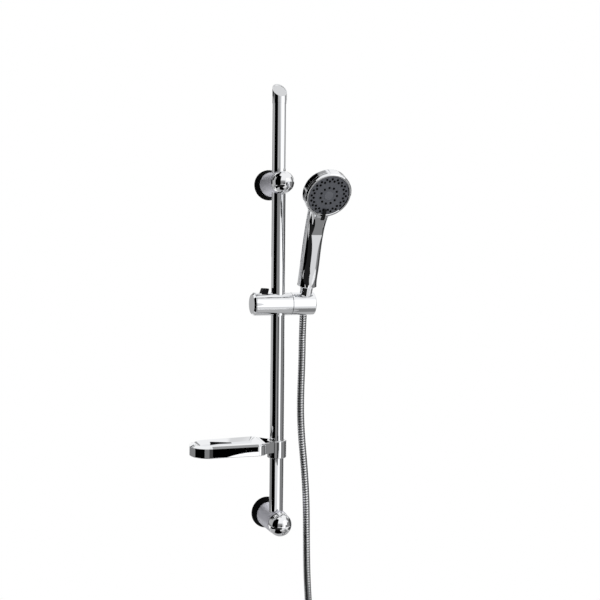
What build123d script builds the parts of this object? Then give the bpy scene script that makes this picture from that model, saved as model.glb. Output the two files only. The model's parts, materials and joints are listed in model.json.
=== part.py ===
"""Shower rail with a sliding handset holder, hand shower, hose and soap dish, in millimetres.

The origin is on the wall, in the middle of the lower wall plate. +X runs to the right along the
wall, -Y comes out of the wall and +Z runs up the rail.
"""

import os
from math import cos, radians, sin, tan

from build123d import *

# Rail
RAIL_OD = 25.0
RAIL_WALL = 1.2
RAIL_OFFSET = 59.0
FIXING_CENTRES = 600.0
RAIL_FOOT = 12.0
RAIL_ABOVE = 141.3
CAP_COLLAR = 11.7
CAP_LEDGE = 0.5
CAP_SLANT = 45.0
CAP_SPIGOT = 18.0

# Wall brackets, with depths counted from the wall
PLATE_OD = 55.6
PLATE_RIM = 4.0
PLATE_DEPTH = 16.0
PLATE_NOSE_OD = 47.0
BOSS_OD = 26.0
BOSS_LENGTH = 18.0
WALL_SCREW_HOLE = 5.2
POST_BACK_OD = 44.6
POST_FRONT_OD = 41.0
POST_FRONT_WALL = 4.6
CAP_GROOVE = 1.2
DOME_OD = 40.4
DOME_SKIRT = 4.4
GRUB_OD = 6.0

# Slider, measured along X from the rail axis
SLIDER_HEIGHT = 385.5
SLIDER_OD = 41.0
SLIDER_WALL = 3.5
SLIDER_LEFT = 48.6
SLIDER_RIGHT = 23.0
HOLDER_SEAM = 0.5
HOLDER_RIGHT = 66.5
CONE_AT = 50.6
RAIL_CLEARANCE = 0.4
GLIDE_WALL = 1.84
GLIDE_HEIGHT = 4.6
GLIDE_START = 7.9
RUNNING_FIT = 0.06

# Release lever and brake, measured from the slider's axis
LEVER_PIVOT_X = -28.0
LEVER_PIVOT_Z = -12.0
LEVER_WIDTH = 14.0
LEVER_HEAD = 11.6
LEVER_LEAN = 2.6
LEVER_TOP = 27.6
LEVER_STEM = 8.0
LEVER_SWING = 7.0
SHOE_HEIGHT = 12.0
SHOE_WIDTH = 14.0
SHOE_PLATE = 3.0

# Handset, measured along the handle from the slider's axis
HANDSET_TILT = 18.5
HANDSET_YAW = 2.0
HANDLE_BOTTOM = 35.0
HANDLE_WIDTH = 35.8
PANEL_START = 99.0
PANEL_LENGTH = 34.0
PANEL_RISE = 8.5
HEAD_BEND = 13.1
FACE_ALONG = 212.6
FACE_FORWARD = 44.5
HEAD_OD = 83.0
BEZEL = 5.8
HEAD_RIM = 11.0
RING_DEPTH = 6.4
TAB_TURN = -4.0
TAB_WIDTH = 5.6
NOZZLE_OD = 3.8
DISC_OD = 16.0
OUTER_NOZZLES = 20
INNER_NOZZLES = 11

# Hose
HOSE_OD = 13.2
NUT_TOP_OD = 23.4
NUT_TAPER = 0.045
THREAD_OD = 20.4
COIL_DIAMETERS = 10.3
COIL_TURNS = 2
COIL_CLIMB = 14.0
COIL_CENTRE_Z = -230.0
END_NUT_FLATS = 24.0
END_NUT_LENGTH = 18.0
END_RUN = 56.0

# Soap dish
DISH_HEIGHT = 128.7
DISH_SWING = -4.0
CLAMP_OD = 34.0
CLAMP_HEIGHT = 30.0
LINER_WALL = 1.4
DISH_WIDTH = 70.0
DISH_REACH = 155.7
DISH_NEAR = 25.0
DISH_DEPTH = 19.3
DISH_WALL = 2.6
DISH_DROP = 6.6
DISH_FLARE = 13.0
LIP_WIDTH = 6.0
LIP_DROP = 3.0
RIM_WIDTH = 2.0
BASIN_DEPTH = 6.0
BASIN_RUN = 9.0
DISH_FLOOR = 2.4
DRAIN_LENGTH = 38.0
DRAIN_WIDTH = 8.0
DRAIN_BACK = 22.0
POCKET_DEPTH = 14.0

# Sizes that follow from the ones above
rail_r = RAIL_OD / 2
rail_y = -RAIL_OFFSET
slider_r = SLIDER_OD / 2
rail_top = FIXING_CENTRES + RAIL_ABOVE
glide_r = rail_r + RUNNING_FIT + GLIDE_WALL
boss_end = PLATE_DEPTH + BOSS_LENGTH
post_front = RAIL_OFFSET + rail_r + POST_FRONT_WALL
hose_r = HOSE_OD / 2
coil_r = COIL_DIAMETERS * HOSE_OD / 2
liner_r = rail_r + RUNNING_FIT + LINER_WALL
clamp_bore = liner_r + RUNNING_FIT
cavity_r = slider_r - SLIDER_WALL
lever_left = LEVER_PIVOT_X + 1.2 - LEVER_HEAD / 2
head_r = HEAD_OD / 2
face_r = head_r - BEZEL

on_rail = Pos(0, rail_y, 0)
on_slider = Pos(0, rail_y, SLIDER_HEIGHT)
tilt_axis_point = Vector(CONE_AT, rail_y, SLIDER_HEIGHT)
handle_dir = Vector(0, -sin(radians(HANDSET_TILT)), cos(radians(HANDSET_TILT)))
on_handle = Plane(tilt_axis_point, x_dir=(1, 0, 0), z_dir=handle_dir).location
face_dir = Vector(0, -cos(radians(HEAD_BEND)), -sin(radians(HEAD_BEND)))
head_plane = Plane((0, -FACE_FORWARD, FACE_ALONG), x_dir=(1, 0, 0), z_dir=face_dir)
on_handset = on_handle * Rot(0, 0, HANDSET_YAW)
on_head = on_handset * head_plane.location
on_dish = Pos(0, rail_y, DISH_HEIGHT) * Rot(0, 0, DISH_SWING)


def turned(points, radii=None):
    """Revolve a closed outline of (radius, height) points about Z."""
    corners = [(r, 0, h) for r, h in points]
    rounding = radii or [0] * len(corners)
    if any(rounding):
        outline = FilletPolyline(*corners, radius=rounding, close=True)
    else:
        outline = Polyline(*corners, close=True)
    return revolve(make_face(outline), Axis.Z)


def rod(radius, start, end):
    """Make a cylinder on Z between two heights."""
    return Pos(0, 0, (start + end) / 2) * Cylinder(radius, end - start)


def along_x(radius, start, end):
    """Make a cylinder on X between two stations."""
    return Pos((start + end) / 2, 0, 0) * Rot(0, 90, 0) * Cylinder(radius, end - start)


def along_y(radius, start, end):
    """Make a cylinder on Y between two stations."""
    return Pos(0, (start + end) / 2, 0) * Rot(90, 0, 0) * Cylinder(radius, end - start)


def block(x, y, z):
    """Make a box from its low and high stations on each axis."""
    middle = Pos((x[0] + x[1]) / 2, (y[0] + y[1]) / 2, (z[0] + z[1]) / 2)
    return middle * Box(x[1] - x[0], y[1] - y[0], z[1] - z[0])


def hex_prism(flats, start, end):
    """Make a hexagonal prism on Z between two heights."""
    prism = extrude(RegularPolygon(flats / 2, 6, major_radius=False), end - start)
    return Pos(0, 0, start) * prism


def from_wall(height):
    """Place a turned piece so that its axis comes straight out of the wall."""
    return Pos(0, 0, height) * Rot(90, 0, 0)


def build_rail():
    """Make the rail tube and the slanted cap in its upper end."""
    tube = rod(rail_r, -RAIL_FOOT, rail_top) - rod(rail_r - RAIL_WALL, -RAIL_FOOT - 1, rail_top + 1)
    spigot_r = rail_r - RAIL_WALL - 0.05
    low = rail_top + CAP_COLLAR
    rise = RAIL_OD * tan(radians(CAP_SLANT))
    cap = rod(rail_r + CAP_LEDGE, rail_top, low + 2 * rise) + rod(spigot_r, rail_top - CAP_SPIGOT, rail_top)
    cap -= rod(spigot_r - 1.6, rail_top - CAP_SPIGOT - 1, rail_top + CAP_COLLAR / 2)
    slant = Pos(0, 0, low + rise / 2) * Rot(CAP_SLANT, 0, 0)
    above = slant * Pos(0, 0, 2 * RAIL_OD) * Box(6 * RAIL_OD, 6 * RAIL_OD, 4 * RAIL_OD)
    recess = rod(rail_r + CAP_LEDGE - 1.8, low, low + 2 * rise) & (Pos(0, 0, -0.7) * above)
    cap = cap - above - recess
    return {"rail_tube": on_rail * tube, "top_end_cap": on_rail * cap}


def build_wall_plate():
    """Make the wall plate, with its back on the plane z = 0 and its boss along +Z."""
    hole = WALL_SCREW_HOLE / 2
    outline = [
        (hole, 0),
        (PLATE_OD / 2, 0),
        (PLATE_OD / 2, PLATE_RIM),
        (PLATE_NOSE_OD / 2, PLATE_DEPTH),
        (BOSS_OD / 2, PLATE_DEPTH),
        (BOSS_OD / 2, boss_end),
        (hole + 2.6, boss_end),
        (hole, boss_end - 2.6),
    ]
    return turned(outline, [0, 0.8, 1.6, 1.0, 0, 0.6, 0, 0])


def build_post(blind):
    """Make a bracket post with its axis on Z and the rail crossing it along Y."""
    outline = [
        (0, PLATE_DEPTH),
        (POST_BACK_OD / 2, PLATE_DEPTH),
        (POST_FRONT_OD / 2, post_front),
        (0, post_front),
    ]
    post = turned(outline, [0, 0.6, 0.8, 0])
    post -= rod(BOSS_OD / 2 + 0.05, PLATE_DEPTH - 1, boss_end + 1)
    post -= rod(POST_FRONT_OD / 2 - 14.4, RAIL_OFFSET, post_front + 1)
    foot = -RAIL_FOOT if blind else -POST_BACK_OD
    crossing = Pos(0, 0, RAIL_OFFSET) * along_y(rail_r + 0.05, foot, POST_BACK_OD)
    post -= crossing
    middle = PLATE_DEPTH + BOSS_LENGTH / 2
    post -= Pos(0, 0, middle) * along_y(GRUB_OD / 2 + 0.02, -POST_BACK_OD, 0)
    return post


def build_dome():
    """Make a bracket's domed cap with its axis on Z."""
    dome_r = DOME_OD / 2
    skirt = post_front + CAP_GROOVE
    spring_line = skirt + DOME_SKIRT
    stud = POST_FRONT_OD / 2 - 14.45
    outline = [
        (0, post_front - POST_FRONT_WALL + 0.4),
        (stud, post_front - POST_FRONT_WALL + 0.4),
        (stud, post_front),
        (dome_r - 1.5, post_front),
        (dome_r - 1.5, skirt),
        (dome_r, skirt),
        (dome_r, spring_line),
        (0, spring_line),
    ]
    cap = turned(outline, [0, 0.4, 0, 0, 0, 0.5, 0, 0])
    ball = Pos(0, 0, spring_line) * Sphere(dome_r)
    return cap + (ball & rod(dome_r + 1, spring_line, spring_line + dome_r + 1))


def build_brackets():
    """Make both wall brackets and the grub screws that hold their posts."""
    middle = -(PLATE_DEPTH + BOSS_LENGTH / 2)
    grub = rod(GRUB_OD / 2, -BOSS_OD / 2 - 8.2, -BOSS_OD / 2)
    grub -= hex_prism(3.0, -BOSS_OD / 2 - 9, -BOSS_OD / 2 - 5)
    grub = Pos(0, middle, 0) * grub
    plate = build_wall_plate()
    dome = build_dome()
    return {
        "lower_wall_plate": from_wall(0) * plate,
        "upper_wall_plate": from_wall(FIXING_CENTRES) * plate,
        "lower_bracket_post": from_wall(0) * build_post(True),
        "upper_bracket_post": from_wall(FIXING_CENTRES) * build_post(False),
        "lower_dome_cap": from_wall(0) * dome,
        "upper_dome_cap": from_wall(FIXING_CENTRES) * dome,
        "bracket_grub_screws": Compound([grub, Pos(0, 0, FIXING_CENTRES) * grub]),
    }


def build_slider():
    """Make the slider body, its end cap, glide rings and friction ring about the slider's axis."""
    shell_left = -SLIDER_LEFT + 4.6
    body = along_x(slider_r, shell_left, SLIDER_RIGHT)
    body = chamfer(body.edges().filter_by(GeomType.CIRCLE), 0.3)
    body -= along_x(cavity_r, shell_left - 1, -rail_r - 4.5)
    body -= rod(rail_r + RAIL_CLEARANCE, -slider_r - 1, slider_r + 1)
    groove = rod(glide_r + RUNNING_FIT, GLIDE_START - 0.1, GLIDE_START + GLIDE_HEIGHT + 0.1)
    body -= groove
    body -= Rot(180, 0, 0) * groove
    window_y = SHOE_WIDTH / 2 + 0.3
    window_z = SHOE_HEIGHT / 2 + 0.3
    body -= block((-rail_r - 6, -rail_r + 2), (-window_y, window_y), (-window_z, window_z))
    slot_y = LEVER_WIDTH / 2 + 0.4
    slot_x = (lever_left - slider_r * sin(radians(2 * LEVER_SWING)), lever_left + LEVER_HEAD + 1.4)
    body -= block(slot_x, (-slot_y, slot_y), (0, slider_r + 1))
    body -= Pos(LEVER_PIVOT_X, 0, LEVER_PIVOT_Z) * along_y(2.0 + RUNNING_FIT, -14.0, 14.0)
    body -= along_x(4.0 + RUNNING_FIT, 0, SLIDER_RIGHT + 1)
    body -= along_x(7.0, 0, SLIDER_RIGHT - 5.5)
    body -= along_x(15.2, SLIDER_RIGHT - 1.2, SLIDER_RIGHT + 1) - along_x(9.8, 0, SLIDER_RIGHT + 2)

    outline = [
        (0, 0),
        (slider_r - 3.4, 0),
        (slider_r, 3.2),
        (slider_r, 4.0),
        (cavity_r + 1.6, 4.0),
        (cavity_r + 1.6, 4.6),
        (cavity_r - 0.05, 4.6),
        (cavity_r - 0.05, 9.0),
        (cavity_r - 2.4, 9.0),
        (cavity_r - 2.4, 5.0),
        (0, 5.0),
    ]
    cap = Pos(-SLIDER_LEFT, 0, 0) * Rot(0, 90, 0) * turned(outline, [0, 0.4, 0.4, 0, 0, 0, 0, 0, 0, 0, 0])

    ring = rod(glide_r, GLIDE_START, GLIDE_START + GLIDE_HEIGHT)
    ring -= rod(rail_r + RUNNING_FIT, 0, 2 * GLIDE_START + GLIDE_HEIGHT)
    rings = Compound([ring, Rot(180, 0, 0) * ring])

    friction = along_x(15.0, SLIDER_RIGHT - 1.2, SLIDER_RIGHT + HOLDER_SEAM - 0.05)
    friction -= along_x(10.0, 0, SLIDER_RIGHT + 2)
    return {
        "slider_body": on_slider * body,
        "slider_end_cap": on_slider * cap,
        "slider_glide_rings": on_slider * rings,
        "holder_friction_ring": on_slider * friction,
    }


def build_brake():
    """Make the release lever, the brake shoe it draws back and the leaf spring behind the shoe."""
    half = LEVER_WIDTH / 2
    stem = LEVER_STEM / 2
    x = LEVER_PIVOT_X
    left = lever_left
    right = left + LEVER_HEAD
    outline = [
        (x - stem, LEVER_PIVOT_Z),
        (x + stem, LEVER_PIVOT_Z),
        (x + stem, 11.0),
        (right, 14.5),
        (right, 18.0),
        (right + LEVER_LEAN, LEVER_TOP),
        (left + LEVER_LEAN + 0.6, LEVER_TOP + 0.6),
        (left, 18.0),
        (left, 14.5),
        (x - stem, 11.0),
    ]
    face = make_face(FilletPolyline(*outline, radius=[0, 0, 1, 1, 6, 1.4, 2.2, 6, 1, 1], close=True))
    lever = Pos(0, half, 0) * extrude(Plane.XZ * face, LEVER_WIDTH)
    lever &= block((-60, 0), (-half, half), (-60, 60))
    lever -= block((-60, 0), (-half - 1, -6.0), (-60, 10.0)) + block((-60, 0), (6.0, half + 1), (-60, 10.0))
    lever = Part() + lever
    lever += Pos(x, 0, LEVER_PIVOT_Z) * along_y(stem - 0.6, -6.0, 6.0)
    lever += Pos(x, 0, LEVER_PIVOT_Z) * along_y(2.0, -13.7, 13.7)

    left = x - stem - 4.2
    plate = block((left, -17.0), (-10.0, 10.0), (-SHOE_PLATE / 2, SHOE_PLATE / 2))
    plate -= block((x - stem - 0.35, x + stem + 0.35), (-6.3, 6.3), (-9, 9))
    half_w = SHOE_WIDTH / 2
    nose = block((x + stem + 4.2, -rail_r + 2), (-half_w, half_w), (-SHOE_HEIGHT / 2, SHOE_HEIGHT / 2))
    shoe = plate + nose - rod(rail_r + 0.3, -slider_r, slider_r)
    shoe -= block((-20.2, -17.0), (half_w, 20), (-9, 9)) + block((-20.2, -17.0), (-20, -half_w), (-9, 9))

    back = -SLIDER_LEFT + 5.3
    bow = ThreePointArc((back, -11.0, 0), (left - 0.25, 0, 0), (back, 11.0, 0))
    strip = Plane((back, -11.0, 0), x_dir=(0, 0, 1), z_dir=bow % 0) * Rectangle(5.0, 0.5)
    spring = sweep(strip, path=bow)
    return {
        "release_lever": on_slider * lever,
        "brake_shoe": on_slider * shoe,
        "brake_spring": on_slider * spring,
    }


def cone(start, end, grow):
    """Make the taper of the hose nut between two stations on the handle's axis."""
    top_r = NUT_TOP_OD / 2 + grow
    low = top_r - NUT_TAPER * (HANDLE_BOTTOM - start)
    high = top_r - NUT_TAPER * (HANDLE_BOTTOM - end)
    return turned([(0, start), (low, start), (high, end), (0, end)])


def build_holder():
    """Make the tilting holder and the screw it turns on."""
    left = SLIDER_RIGHT + HOLDER_SEAM
    holder = along_x(slider_r, left, HOLDER_RIGHT)
    rims = holder.edges().filter_by(GeomType.CIRCLE).sort_by(Axis.X)
    holder = fillet(rims[-1:], 1.6)
    holder = chamfer(holder.edges().filter_by(GeomType.CIRCLE).sort_by(Axis.X)[:1], 0.3)
    holder -= along_x(3.35, left - 1, left + 12.5)
    holder = on_slider * holder
    holder -= on_handle * cone(-slider_r - 8, slider_r + 8, 0.05)

    screw = along_x(4.0, SLIDER_RIGHT - 5.6, left) + along_x(3.3, left, left + 12.2)
    screw += along_x(6.8, SLIDER_RIGHT - 8.8, SLIDER_RIGHT - 5.6)
    socket = Rot(0, 90, 0) * hex_prism(5.0, SLIDER_RIGHT - 9, SLIDER_RIGHT - 6.8)
    return {"handset_holder": holder, "holder_pivot_screw": on_slider * (screw - socket)}


def build_hose_top():
    """Make the conical nut, the hose's tail and washer inside it, and the handset's inlet."""
    low, seat, thread = -slider_r + 0.5, 14.0, 18.0
    top = HANDLE_BOTTOM - 0.4
    thread_r = THREAD_OD / 2
    nut = cone(low, top, 0)
    nut &= turned([(0, low), (hose_r + 1.0, low), (hose_r + 3.0, low + 3), (thread_r + 5, top), (0, top)])
    nut -= rod(hose_r + 0.1, low - 1, seat)
    nut -= rod(hose_r + 1.4, seat - 1, thread)
    nut -= rod(thread_r + 0.05, thread, top + 1)

    tail = rod(hose_r, low + 0.2, seat) + rod(hose_r + 1.3, seat, thread)
    tail -= rod(4.5, low - 1, thread + 1)
    washer = rod(thread_r - 0.3, thread, thread + 2) - rod(5.5, thread - 1, thread + 3)

    nipple = rod(thread_r, thread + 2, HANDLE_BOTTOM) + rod(12.0, HANDLE_BOTTOM, HANDLE_BOTTOM + 17)
    nipple -= rod(5.0, thread, HANDLE_BOTTOM + 18)
    nipple -= rod(6.5, HANDLE_BOTTOM + 3, HANDLE_BOTTOM + 18)
    flow = rod(6.4, HANDLE_BOTTOM + 3, HANDLE_BOTTOM + 6) - rod(1.6, HANDLE_BOTTOM, HANDLE_BOTTOM + 9)
    return {
        "hose_cone_nut": on_handle * nut,
        "hose_tail": on_handle * tail,
        "hose_washer": on_handle * washer,
        "handset_inlet": on_handle * nipple,
        "flow_washer": on_handle * flow,
    }


def handle_section(y, z, lean, width, depth):
    """Make one elliptical section of the handle, leaning forward as it nears the head."""
    forward = radians(lean)
    plane = Plane((0, y, z), x_dir=(1, 0, 0), z_dir=(0, -sin(forward), cos(forward)))
    return plane * Ellipse(width / 2, depth / 2)


def build_handset_body():
    """Make the handle and head in one piece: a lofted handle, a turned head and a flat front facet."""
    width = HANDLE_WIDTH
    sections = [
        handle_section(0, HANDLE_BOTTOM, 0, width, width - 1.0),
        handle_section(0, HANDLE_BOTTOM + 32, 0, width - 0.8, width - 1.8),
        handle_section(0, HANDLE_BOTTOM + 64, 0, width - 1.2, width - 2.2),
        handle_section(-0.9, HANDLE_BOTTOM + 94, 5, width - 1.2, width - 2.0),
        handle_section(-3.9, HANDLE_BOTTOM + 117, 15, width - 0.2, width - 1.0),
        handle_section(-10.0, HANDLE_BOTTOM + 139, 25, width + 4.6, width + 1.6),
        handle_section(-18.5, HANDLE_BOTTOM + 156, 34, width + 15.0, width + 4.4),
        handle_section(-26.0, HANDLE_BOTTOM + 171, 38, width + 26.0, width - 1.0),
    ]
    handle = loft(sections)
    handle = chamfer(handle.edges().sort_by(Axis.Z)[:1], 1.0)

    facet_low = -width / 2 + 0.9
    facet_high = -width / 2 + 2.4
    front = Polyline(
        (0, facet_low, HANDLE_BOTTOM - 5),
        (0, facet_high, HANDLE_BOTTOM + PANEL_START),
        (0, facet_high - PANEL_RISE, HANDLE_BOTTOM + PANEL_START + PANEL_LENGTH),
        (0, -FACE_FORWARD - 6, HANDLE_BOTTOM + 150),
        (0, -FACE_FORWARD - 30, HANDLE_BOTTOM + 150),
        (0, -FACE_FORWARD - 30, HANDLE_BOTTOM - 5),
        close=True,
    )
    facet = Pos(-60, 0, 0) * extrude(make_face(front), 120, dir=(1, 0, 0))
    handle -= facet

    back = RING_DEPTH + HEAD_RIM
    outline = [
        (0, -RING_DEPTH),
        (head_r, -RING_DEPTH),
        (head_r, -back),
        (head_r - 5.0, -back - 7.5),
        (head_r - 19.0, -back - 14.5),
        (0, -back - 16.5),
    ]
    head = turned(outline, [0, 0.6, 6.0, 9.0, 30.0, 0])
    body = handle + head_plane.location * head
    body -= head_plane.location * rod(face_r + 0.3, -RING_DEPTH - 10, 20)
    body -= head_plane.location * rod(head_r + 1.0, -RING_DEPTH, 30)
    body -= head_plane.location * rod(2.05, -RING_DEPTH - 14, 0)
    body -= rod(12.05, HANDLE_BOTTOM - 1, HANDLE_BOTTOM + 17)
    body -= rod(9.0, HANDLE_BOTTOM, HANDLE_BOTTOM + 130)
    elbow = Vector(0, 0, HANDLE_BOTTOM + 128)
    mouth = head_plane.from_local_coords(Vector(0, -12, -RING_DEPTH - 8))
    run = mouth - elbow
    body -= Plane(elbow, x_dir=(1, 0, 0), z_dir=run).location * rod(7.0, -3, run.length)
    return body


def nozzle_places():
    """List the nozzle centres on the spray face: two staggered outer rings and one inner ring."""
    outer = PolarLocations(face_r - 4.4, OUTER_NOZZLES)
    staggered = PolarLocations(face_r - 8.4, OUTER_NOZZLES, start_angle=180 / OUTER_NOZZLES)
    inner = PolarLocations(face_r * 0.42, INNER_NOZZLES)
    return list(outer) + list(staggered) + list(inner)


def build_head_parts():
    """Make the pieces on the head's own axis, with the spray face near z = 0."""
    bore = face_r + 0.3
    ring_outline = [
        (bore + 0.1, -RING_DEPTH + 0.4),
        (head_r, -RING_DEPTH + 0.4),
        (head_r, -1.6),
        (head_r - 2.2, 0.9),
        (bore + 0.9, 0.9),
        (bore + 0.1, -0.2),
    ]
    ring = turned(ring_outline, [0, 0.5, 2.0, 1.2, 0.4, 0])
    tab_face = make_face(
        FilletPolyline(
            (0, -bore + 11.0, 1.5),
            (0, -bore - 0.8, 1.5),
            (0, -bore - 0.8, 0.2),
            (0, -head_r - 4.6, 0.2),
            (0, -head_r - 4.6, 3.4),
            (0, -head_r + 1.4, 5.4),
            (0, -bore + 11.0, 2.8),
            radius=[0, 0, 0, 0.6, 1.4, 3.0, 0.4],
            close=True,
        )
    )
    tab = Pos(-TAB_WIDTH / 2, 0, 0) * extrude(tab_face, TAB_WIDTH, dir=(1, 0, 0))
    ring += Rot(0, 0, TAB_TURN) * tab

    places = nozzle_places()
    plate = rod(face_r, -3.0, -0.4)
    plate = fillet(plate.edges().group_by(Axis.Z)[-1], 0.5)
    plate += rod(5.8, -4.6, -2.5)
    plate -= rod(DISC_OD / 2 + 0.1, -1.6, 1)
    plate -= rod(3.8, -3.4, 1) + rod(2.1, -6, 1)
    plate -= [at * rod(NOZZLE_OD / 2 + 0.1, -4, 1) for at in places]

    mat = rod(face_r - 1.5, -4.6, -3.0) - rod(6.0, -6, 0)
    nub_r = NOZZLE_OD / 2
    nub = turned([(0, -3.2), (nub_r, -3.2), (nub_r, -0.2), (nub_r - 0.25, 0.7), (0, 0.7)])
    mat += [at * nub for at in places]

    disc = fillet(rod(DISC_OD / 2, -1.6, 0.2).edges().group_by(Axis.Z)[-1], 0.6)
    screw = rod(3.6, -3.4, -1.7) + rod(2.0, -RING_DEPTH - 13.5, -3.4)
    screw -= block((-2.4, 2.4), (-0.5, 0.5), (-2.6, -1)) + block((-0.5, 0.5), (-2.4, 2.4), (-2.6, -1))

    diverter = rod(face_r - 0.7, -12.0, -4.6) - rod(2.1, -13, 0)
    diverter -= rod(face_r + 1, -9.6, -7.2) - rod(face_r - 1.9, -10, -7)
    diverter -= [at * rod(2.0, -13, 0) for at in PolarLocations(face_r - 5.4, 12)]
    diverter -= [at * rod(2.4, -13, 0) for at in PolarLocations(face_r * 0.46, 6)]
    seal = Pos(0, 0, -8.4) * Torus(face_r - 0.8, 1.08)
    return {
        "mode_ring": on_head * ring,
        "spray_plate": on_head * plate,
        "nozzle_mat": on_head * mat,
        "centre_disc": on_head * disc,
        "face_screw": on_head * screw,
        "diverter_plate": on_head * diverter,
        "head_seal": on_head * seal,
    }


def hose_route():
    """List the corners of the hose's hanging run, from inside the holder to the coil."""
    start = tilt_axis_point - handle_dir * (slider_r - 6.0)
    bend = tilt_axis_point - handle_dir * (slider_r + 36.0) + Vector(2.8, 0, 0)
    hang = bend.Y
    return [
        start,
        bend,
        Vector(53.4, hang + 0.5, 284.0),
        Vector(50.6, hang, 203.0),
        Vector(52.8, hang, 149.0),
        Vector(59.6, hang, 84.0),
        Vector(63.8, hang, 24.0),
        Vector(64.7, hang, -46.0),
        Vector(66.2, hang, -112.0),
        Vector(70.3, hang, -170.0),
        Vector(72.0, hang, COIL_CENTRE_Z + 4.0),
    ]


def bend_radii(points):
    """Give each inner corner of a route the widest radius that its shorter run allows."""
    radii = []
    for before, corner, after in zip(points, points[1:], points[2:]):
        first = corner - before
        second = after - corner
        half_turn = radians(first.get_angle(second)) / 2
        radii.append(0.45 * min(first.length, second.length) / tan(half_turn))
    return radii


def build_hose():
    """Make the hanging hose, its coil with a tie, and the fittings on its free end."""
    points = hose_route()
    radii = bend_radii(points)
    path = FilletPolyline(*points, radius=radii)
    print("hose bend radii", [round(r) for r in radii])
    hanging = sweep(Plane(points[0], z_dir=path % 0) * Circle(hose_r), path=path)
    ratio = hanging.volume / (path.length * Circle(hose_r).area)
    print("hose run", round(path.length, 1), "volume ratio", round(ratio, 4))
    hanging -= on_slider * along_x(slider_r + 1.1, SLIDER_RIGHT + 1, HOLDER_RIGHT + 4)

    last = points[-1]
    spread = COIL_TURNS * COIL_CLIMB
    centre = Vector(last.X + spread / 2, last.Y - coil_r, COIL_CENTRE_Z)
    section = Pos(coil_r, 0, 0) * Rot(0, 0, 90) * SlotCenterToCenter(spread, HOSE_OD)
    coil = Pos(centre) * Rot(0, 90, 0) * revolve(Rot(90, 0, 0) * section, Axis.Z)
    print("hose coil length", round(COIL_TURNS * 3.14159 * 2 * coil_r, 1))

    band = SlotCenterToCenter(spread, HOSE_OD + 2.4) - SlotCenterToCenter(spread, HOSE_OD + 0.6)
    band = Rot(90, 0, 0) * Pos(coil_r, 0, 0) * Rot(0, 0, 90) * band
    tie = Pos(centre) * Rot(0, 90, 0) * Rot(0, 0, 176) * revolve(band, Axis.Z, 8)

    at_end = Pos(last.X + spread, last.Y, 0)
    end_z = COIL_CENTRE_Z - END_RUN
    end_run = at_end * rod(hose_r, end_z, COIL_CENTRE_Z - 4)
    nut_top = end_z - 10.0
    sleeve = rod(hose_r + 1.2, nut_top, end_z) + rod(hose_r + 0.2, nut_top - 3.2, nut_top)
    sleeve += rod(9.0, nut_top - 6.2, nut_top - 3.2)
    sleeve -= rod(4.5, nut_top - 9, end_z - 4)
    nut = hex_prism(END_NUT_FLATS, nut_top - END_NUT_LENGTH, nut_top - 0.1)
    flats_r = END_NUT_FLATS / 2
    crown = [
        (0, -END_NUT_LENGTH),
        (flats_r + 0.2, -END_NUT_LENGTH),
        (flats_r + 2.2, -END_NUT_LENGTH + 1.6),
        (flats_r + 2.2, -2.2),
        (flats_r - 0.2, -0.1),
        (0, -0.1),
    ]
    nut &= Pos(0, 0, nut_top) * turned(crown)
    nut -= rod(hose_r + 0.2 + RUNNING_FIT, nut_top - 4, nut_top + 1)
    nut -= rod(9.35, nut_top - END_NUT_LENGTH - 1, nut_top - 3.1)
    nut -= rod(9.65, nut_top - 9.2, nut_top - 3.1)
    washer = rod(8.8, nut_top - 8.2, nut_top - 6.2) - rod(5.0, nut_top - 9, nut_top)
    return {
        "hose_tube": Compound([hanging.solid(), end_run.solid()]),
        "hose_coil": coil,
        "hose_tie": tie,
        "hose_end_sleeve": at_end * sleeve,
        "hose_end_nut": at_end * nut,
        "hose_end_washer": at_end * washer,
    }


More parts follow.
